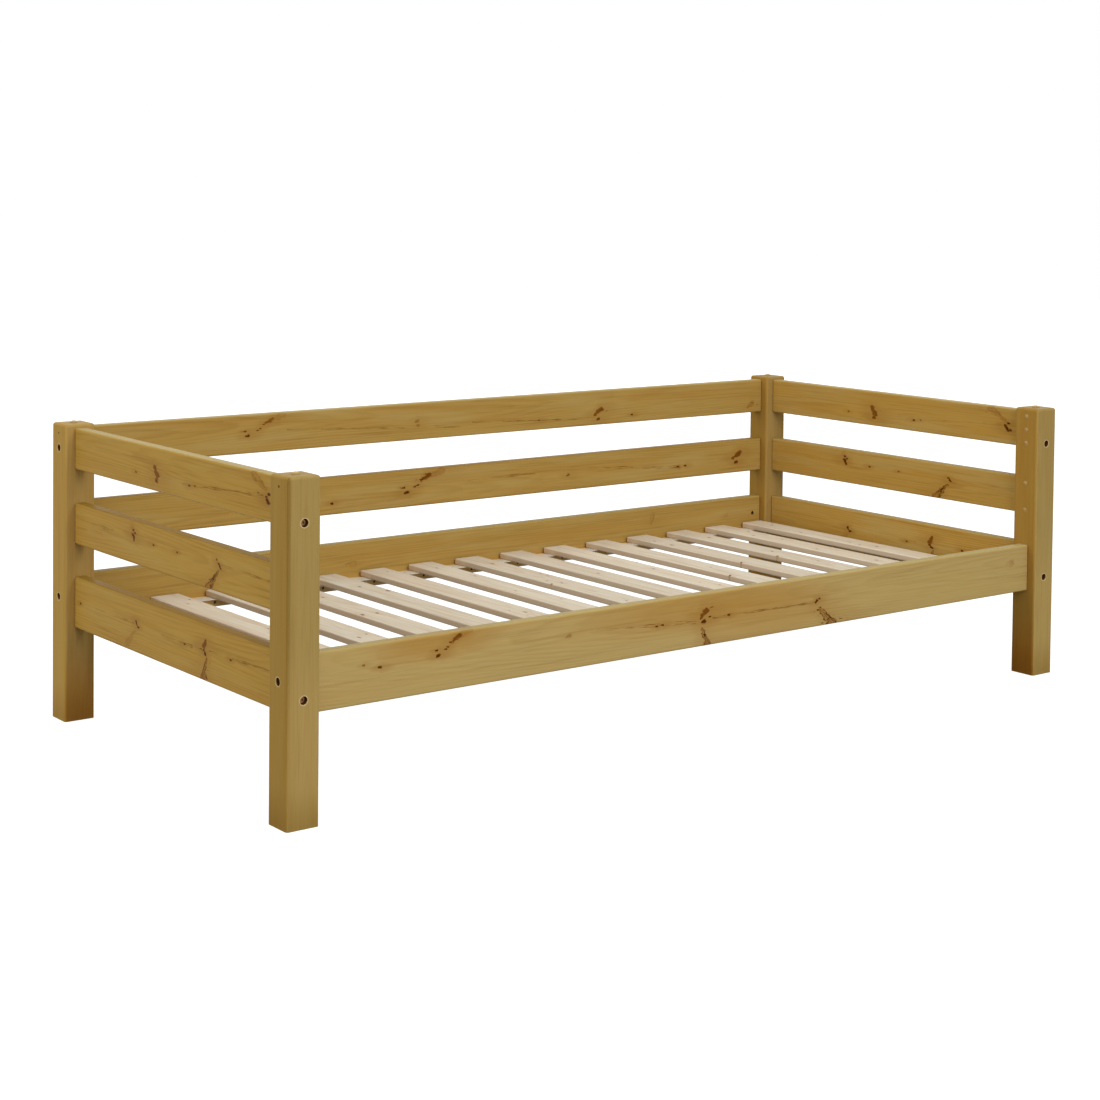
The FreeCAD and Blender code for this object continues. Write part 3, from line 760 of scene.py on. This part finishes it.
# %% Dress the rails
stain_gloss = 0.4
rail_contrast = 0.42
side_stains = {"front": front_stain, "left": left_stain_and_shade, "right": right_stain_and_shade, "back": stain}
deep_shade_rails = ("left_bottom_rail", "left_middle_rail", "back_middle_rail")
darker_rail = 0.95
front_zones = [
    ((-0.72, 0.30), (0.20, 0.05), 0.65),
    ((-0.05, 0.285), (0.42, 0.07), 0.6),
    ((0.16, 0.25), (0.30, 0.08), 0.4),
]
for seed, name in enumerate(sorted(rail_marks), start=11):
    place = name.split("_")[0]
    grain = "y" if place in ("left", "right") else "x"
    # Rail tops: a painted highlight on the top and front rails, painted shade on the lower ones.
    side_tint = rail_top_highlight if "top" in name or place == "front" else rail_top_shade
    if name in deep_shade_rails:
        side_tint = rail_top_deep_shade
    is_light = place in ("front", "left") or name == "right_bottom_rail"
    lightness = 1.0 if is_light else darker_rail
    zones = front_zones if place == "front" else ()
    finish = board_material(f"stained pine {name}", name, grain, side_stains[place], rail_marks[name],
                            seed, rail_contrast, stain_gloss, lightness, zones, side_tint)
    dress(name, finish)
print("rails:", len(rail_marks))

# %% Dress the posts
post_nodes = sorted(name for name in nodes if name.endswith("_post"))
post_contrast = 0.22
dark_post = 0.8
light_post = 0.98
along_x, along_y = 0, 1
bolt_hole = 8.0 * mm
front_bolts = [(along_y, 554 * mm), (along_y, 234 * mm), (along_x, 266 * mm)]
back_bolts = front_bolts + [(along_x, 586 * mm)]
for seed, name in enumerate(post_nodes, start=41):
    bolts = back_bolts if name.startswith("back") else front_bolts
    holes = [(axis, height, bolt_hole) for axis, height in bolts]
    lightness = light_post if name == "back_left_post" else dark_post
    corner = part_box(name)[0][:2] if name == "front_left_post" else None
    finish = board_material(f"stained pine {name}", name, "z", post_stain, [], seed,
                            post_contrast, stain_gloss, lightness, holes=holes, corner=corner)
    dress(name, finish)
print("posts:", len(post_nodes))

# %% [markdown]
# ## Slats and ledgers
#
# The base is plain planed pine with no stain, so it is paler, pinker and duller. Small knots are many on
# such wood. A seeded random generator scatters a few on each slat, which gives the same bed on every run,
# and those that catch the eye are listed one by one.

# %% Scattered knots
knot_counts = (3, 7)
knot_margins = (40, 8)
knot_sizes = (1.5, 3.6)
knot_depths = (0.4, 0.95)


def scattered_marks(node, along_axis, across_axis, seed):
    """A few pin knots at seeded random places on the face of a board, in millimetres."""
    rng = np.random.default_rng(seed)
    low, high = (np.array(corner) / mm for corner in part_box(node))
    marks = []
    for _ in range(rng.integers(*knot_counts)):
        along = rng.uniform(low[along_axis] + knot_margins[0], high[along_axis] - knot_margins[0])
        across = rng.uniform(low[across_axis] + knot_margins[1], high[across_axis] - knot_margins[1])
        marks.append(eye(along, across, rng.uniform(*knot_sizes), rng.uniform(*knot_depths)))
    return marks


slat_knots = {
    "slat_02": [eye(332, -815, 2.0, 0.8)],
    "slat_07": [eye(371, -139, 2.0, 0.8)],
    "slat_08": [eye(-187, -13, 2.0, 0.7), eye(96, -19, 1.8, 0.7), eye(60, -32, 2.0, 0.8)],
    "slat_10": [eye(154, 298, 1.8, 0.8)],
    "slat_11": [eye(-98, 374, 3.2, 1.0, 60)],
    "slat_12": [eye(222, 566, 3.0, 0.55), eye(212, 552, 1.8, 0.6), eye(10, 509, 2.6, 1.0, 60)],
    "slat_13": [eye(25, 644, 2.6, 0.7)],
    "slat_15": [eye(370, 949, 2.4, 0.6), eye(59, 932, 2.0, 0.7)],
}
print("slats with knots placed by hand:", len(slat_knots))

# %% Dress the bare pine
slat_nodes = sorted(name for name in nodes if name.startswith("slat_"))
ledger_nodes = ["front_ledger", "back_ledger"]
bare_gloss = 0.6
slat_contrast = 0.55
ledger_contrast = 0.45
slat_lightness = (0.91, 0.98)
planing = np.random.default_rng(5)
for seed, name in enumerate(slat_nodes, start=71):
    # The slats' narrow sides get painted shade, for the shade between the slats.
    marks = scattered_marks(name, 1, 0, seed) + slat_knots.get(name, [])
    lightness = planing.uniform(*slat_lightness)
    finish = board_material(f"bare pine {name}", name, "flat y", bare, marks, seed,
                            slat_contrast, bare_gloss, lightness, side_tint=slat_side_shade)
    dress(name, finish)
for seed, name in enumerate(ledger_nodes, start=101):
    marks = scattered_marks(name, 0, 2, seed)
    finish = board_material(f"bare pine {name}", name, "x", ledger_pine_and_light, marks, seed,
                            ledger_contrast, bare_gloss)
    dress(name, finish)
print("bare pine pieces:", len(slat_nodes) + len(ledger_nodes))

# %% [markdown]
# ## Plugs and dowels
#
# Plugs are stained with the frame and dowels are raw beech. They are turned along their length, and too
# small for rings to show, so streaks and a slow change of tone are enough. The domed plugs on the post
# tops get a painted highlight in the middle and painted shade at the rim.

# %% Dress the turned pieces
turned_streaks = (900.0, 900.0, 60.0)
turned_tone = 60.0
dome_middle = 0.55
dome_light, dome_shadow = 1.35, 0.6
streak_roughness = 0.2


def turned_wood(name, pale, dark, roughness, dome=None):
    """Small turned wooden pieces: streaks along Z and a slow change of tone, half each.

    dome is (x, y, radius) for pieces at plus and minus x and y: their tops get a painted highlight and
    their rims painted shade.
    """
    material, w = blank_material(name)
    where = w.place()
    streaks = w.noise(where, turned_streaks, detail=3.0, roughness=0.6)
    tone = w.noise(where, turned_tone)
    shade = w.blend(w.math("MULTIPLY_ADD", tone, 0.5, w.math("MULTIPLY", streaks, 0.5)), pale, dark)
    if dome:
        offset = w.vector("SUBTRACT", w.vector("ABSOLUTE", where), (dome[0], dome[1], 0.0))
        radius = w.vector("LENGTH", w.vector("MULTIPLY", offset, (1.0, 1.0, 0.0)))
        rim = w.fade(radius, dome_middle * dome[2], dome[2])
        shade = w.blend(rim, w.scaled(shade, dome_light), w.scaled(shade, dome_shadow))
    rough = w.math("MULTIPLY_ADD", streaks, streak_roughness, roughness - 0.5 * streak_roughness)
    w.surface({"Base Color": shade, "Roughness": rough})
    return material


plug_place = [float(size) for size in np.mean(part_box("back_right_post"), axis=0)[:2]]
dome_radius = 9.0 * mm
dome = (*plug_place, dome_radius)
dome_finish = turned_wood("stained dome", colour(172, 144, 80), colour(148, 116, 58), 0.44, dome)
plug_finish = turned_wood("stained plug", colour(172, 140, 70), colour(142, 106, 46), 0.44)
dowel_finish = turned_wood("raw beech", colour(214, 180, 138), colour(186, 146, 102), 0.6)
turned_pieces = {"post_top_plugs": dome_finish, "guard_rail_plugs": plug_finish,
                 "rail_dowels": dowel_finish}
for name, finish in turned_pieces.items():
    dress(name, finish)
print("turned pieces:", list(turned_pieces))

# %% [markdown]
# ## Steel
#
# The bolts and washers are bronzed, the nuts and staples zinc plated and the screws blackened. All three
# platings are blotchy and finely scratched, so roughness and tint vary. A plain grey metal would look
# like a mirror in the white room.

# %% Dress the hardware
blotch_scale = 420.0
scratch_scale = (2600.0, 2600.0, 500.0)
smooth_plating, scratch_roughness = 0.2, 0.3


def plated_steel(name, dark, pale):
    """Plating on steel: blotchy tint, fine scratches in the roughness."""
    material, w = blank_material(name)
    where = w.place()
    blotch = w.noise(where, blotch_scale, detail=3.0)
    scratch = w.noise(where, scratch_scale)
    rough = w.math("MULTIPLY_ADD", scratch, scratch_roughness, smooth_plating)
    w.surface({"Base Color": w.blend(blotch, dark, pale), "Metallic": 1.0, "Roughness": rough})
    return material


zinc_finish = plated_steel("zinc plate", colour(56, 52, 47), colour(92, 87, 80))
bolt_finish = plated_steel("bronzed steel", colour(90, 66, 44), colour(144, 110, 76))
screw_finish = plated_steel("blackened screw", colour(52, 46, 40), colour(84, 77, 68))
steel_pieces = {"connector_bolts": bolt_finish, "bolt_washers": bolt_finish, "barrel_nuts": zinc_finish,
                "ledger_screws": screw_finish, "strap_staples": zinc_finish}
for name, finish in steel_pieces.items():
    dress(name, finish)
print("steel pieces:", list(steel_pieces))

# %% [markdown]
# ## Webbing straps
#
# Two woven straps keep the slats at their spacing. A strap could be a box with a bumpy material, but real
# webbing has a rounded selvedge and ribs that one sees along its edge, so the strap is a closed section
# carried along the bed. The section is a flattened ring whose surface rises and falls with the weave.

# %% Straps as carried sections
rib_pitch = 4.0 * mm
rib_height = 0.12 * mm
steps_a_rib = 4
ring_points = 20
squareness = 0.25


def carried_section(name, section, path):
    """Closed tube: section[i, k] is the k-th point of the ring at path step i, as offsets from path[i]."""
    rings, around, _ = section.shape
    points = (path[:, None, :] + section).reshape(-1, 3)
    i, k = np.meshgrid(np.arange(rings - 1), np.arange(around), indexing="ij")
    after = (k + 1) % around
    here, there = i * around, (i + 1) * around
    quads = np.stack([here + k, here + after, there + after, there + k], -1)
    first = tuple(range(around))[::-1]
    last = tuple(range((rings - 1) * around, rings * around))
    mesh = bpy.data.meshes.new(name)
    mesh.from_pydata(points.tolist(), [], quads.reshape(-1, 4).tolist() + [first, last])
    mesh.polygons.foreach_set("use_smooth", np.ones(len(mesh.polygons), dtype=bool))
    piece = bpy.data.objects.new(name, mesh)
    bpy.context.scene.collection.objects.link(piece)
    return piece


def strap_piece(name, node):
    """Flattened ring with the half sizes of the CAD strap: y = a cos t, z = b sin t, to the power 1/4.

    The face ripples across the ribs: half thickness times (1 - rib share (1 - cos(2 pi x / pitch)) / 2).
    """
    low, high = (np.array(corner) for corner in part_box(node))
    half = (high - low) / 2.0
    steps = np.linspace(low[0], high[0], int((high[0] - low[0]) / rib_pitch * steps_a_rib))
    turn = np.linspace(0.0, 2.0 * np.pi, ring_points, endpoint=False)
    wide = half[1] * np.sign(np.cos(turn)) * np.abs(np.cos(turn)) ** squareness
    tall = half[2] * np.sign(np.sin(turn)) * np.abs(np.sin(turn)) ** squareness
    ripple = 1.0 - rib_height / half[2] * (1.0 - np.cos(2.0 * np.pi * steps / rib_pitch)) / 2.0
    section = np.zeros((len(steps), len(turn), 3))
    section[:, :, 1] = wide[None, :]
    section[:, :, 2] = tall[None, :] * ripple[:, None]
    middle = (low + high) / 2.0
    path = np.stack([steps, np.full_like(steps, middle[1]), np.full_like(steps, middle[2])], 1)
    return carried_section(name, section, path)


print("ribs:", rib_pitch, "m apart")

# %% Webbing
weft_pitch = 1.6 * mm
warp_pitch = 1.2 * mm
thread_scale = (40.0, 1500.0, 100.0)
weave_share, thread_share = 0.5, 0.4
weave_bump = {"Strength": 0.5, "Distance": 0.3 * mm}


def webbing_finish(name):
    """Cream webbing: two crossing waves make the weave, and single threads differ in tone."""
    material, w = blank_material(name)
    where = w.place()
    axes = w.parts(where)
    weft = w.math("SINE", w.math("MULTIPLY", axes[0], 2.0 * math.pi / weft_pitch))
    warp = w.math("SINE", w.math("MULTIPLY", axes[1], 2.0 * math.pi / warp_pitch))
    weave = w.math("MULTIPLY_ADD", w.math("MULTIPLY", weft, warp), 0.5, 0.5)
    threads = w.noise(where, thread_scale)
    shade = w.tinted(colour(214, 204, 186), colour(236, 228, 212), weave, weave_share)
    shade = w.tinted(shade, colour(204, 190, 166), threads, thread_share)
    bump = w.labelled("ShaderNodeBump", {**weave_bump, "Height": weave}).outputs[0]
    w.surface({"Base Color": shade, "Roughness": 0.85, "Normal": bump})
    return material


webbing = webbing_finish("cream webbing")
for node in ("front_strap", "back_strap"):
    piece = strap_piece(f"{node}_webbing", node)
    piece.data.materials.append(webbing)
    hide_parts(node)
    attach(piece, "slat_base")
    print(piece.name, "faces:", len(piece.data.polygons))

# %% [markdown]
# ## Floor, light and camera
#
# The bed stands on a plain pale floor under soft light. A white page behind the object comes from the
# floor's and the world's own colour as the camera sees it, not from more light, so the wood keeps its
# tone. The camera stands where the picture was taken from, with its picture plane shifted, as an
# architect's camera does to keep upright edges upright.

# %% Floor
floor_reach = 14.0
page_glow = 0.84
page_shade = (0.40, 0.40, 0.40, 1.0)
plain_floor = (0.25, 0.25, 0.25, 1.0)
white = (1.0, 1.0, 1.0, 1.0)


def seen_by_camera(w):
    """1 for what the camera sees directly, in a reflection or through something clear."""
    rays = w.node("ShaderNodeLightPath").outputs
    seen = w.math("MAXIMUM", rays["Is Camera Ray"], rays["Is Glossy Ray"])
    return w.math("MAXIMUM", seen, rays["Is Transmission Ray"])


def floor_finish(name):
    """Pale floor: nearly white to the camera, with a faint shadow, and plain grey to other light."""
    material, w = blank_material(name)
    seen = seen_by_camera(w)
    paper = w.node("ShaderNodeEmission", white, page_glow).outputs[0]
    shaded = w.node("ShaderNodeBsdfDiffuse", page_shade).outputs[0]
    page = w.node("ShaderNodeAddShader", paper, shaded).outputs[0]
    plain = w.node("ShaderNodeBsdfDiffuse", plain_floor).outputs[0]
    both = w.node("ShaderNodeMixShader", seen, plain, page).outputs[0]
    w.fill(w.node("ShaderNodeOutputMaterial").inputs["Surface"], both)
    return material


sides = ((-1, -1), (1, -1), (1, 1), (-1, 1))
corners = [(x * floor_reach, y * floor_reach, 0.0) for x, y in sides]
floor_mesh = bpy.data.meshes.new("floor")
floor_mesh.from_pydata(corners, [], [(0, 1, 2, 3)])
floor_mesh.materials.append(floor_finish("pale floor"))
floor = bpy.data.objects.new("floor", floor_mesh)
bpy.context.scene.collection.objects.link(floor)
print("floor:", floor_reach * 2, "m square")

# %% Light
sky_strength = 0.5
bed_middle = (0.0, 0.0, 0.35)


def sky(world):
    """Even light from all round, and plain white for what the camera sees directly or in a reflection."""
    world.use_nodes = True
    world.node_tree.nodes.clear()
    w = Wiring(world.node_tree)
    seen = seen_by_camera(w)
    light = w.node("ShaderNodeBackground", white, sky_strength).outputs[0]
    page = w.node("ShaderNodeBackground", white, 1.0).outputs[0]
    both = w.node("ShaderNodeMixShader", seen, light, page).outputs[0]
    w.fill(w.node("ShaderNodeOutputWorld").inputs["Surface"], both)


def soft_lamp(name, place, aim, size, watts, mirrored=True):
    """Square area lamp at a place, turned to face a point. One that isn't mirrored makes no shine."""
    lamp = bpy.data.lights.new(name, "AREA")
    lamp.size = size
    lamp.energy = watts
    holder = bpy.data.objects.new(name, lamp)
    holder.visible_glossy = mirrored
    bpy.context.scene.collection.objects.link(holder)
    offset = np.array(aim) - np.array(place)
    holder.location = place
    heading = math.atan2(offset[1], offset[0])
    drop = math.atan2(math.hypot(offset[0], offset[1]), -offset[2])
    holder.rotation_euler = (drop, 0.0, heading - math.pi / 2.0)
    return holder


world = bpy.data.worlds.new("studio")
bpy.context.scene.world = world
sky(world)
lamps = [
    soft_lamp("front lamp", (-0.8, -5.6, 3.2), bed_middle, size=3.5, watts=225.0),
    soft_lamp("left lamp", (-9.0, 1.0, 3.6), bed_middle, size=4.5, watts=300.0),
    soft_lamp("top lamp", (0.0, 0.0, 5.5), bed_middle, size=4.0, watts=40.0),
    soft_lamp("back lamp", (5.0, 6.5, 2.6), bed_middle, size=4.5, watts=200.0, mirrored=False),
]
print("lamps:", [lamp.name for lamp in lamps], "sky:", sky_strength)

# %% Camera
camera_place = (-2.9263, -3.7292, 1.1763)
camera_turn = (87.817, -0.636, -38.056)
lens_mm = 68.507
film_mm = 36.0
picture_shift = (-0.02841, -0.26613)

lens = bpy.data.cameras.new("camera")
lens.lens = lens_mm
lens.sensor_width = film_mm
lens.shift_x, lens.shift_y = picture_shift
camera = bpy.data.objects.new("camera", lens)
camera.location = camera_place
camera.rotation_euler = [math.radians(angle) for angle in camera_turn]
bpy.context.scene.collection.objects.link(camera)
bpy.context.scene.camera = camera
bpy.context.scene.view_settings.view_transform = "Standard"
print("camera at", camera_place)
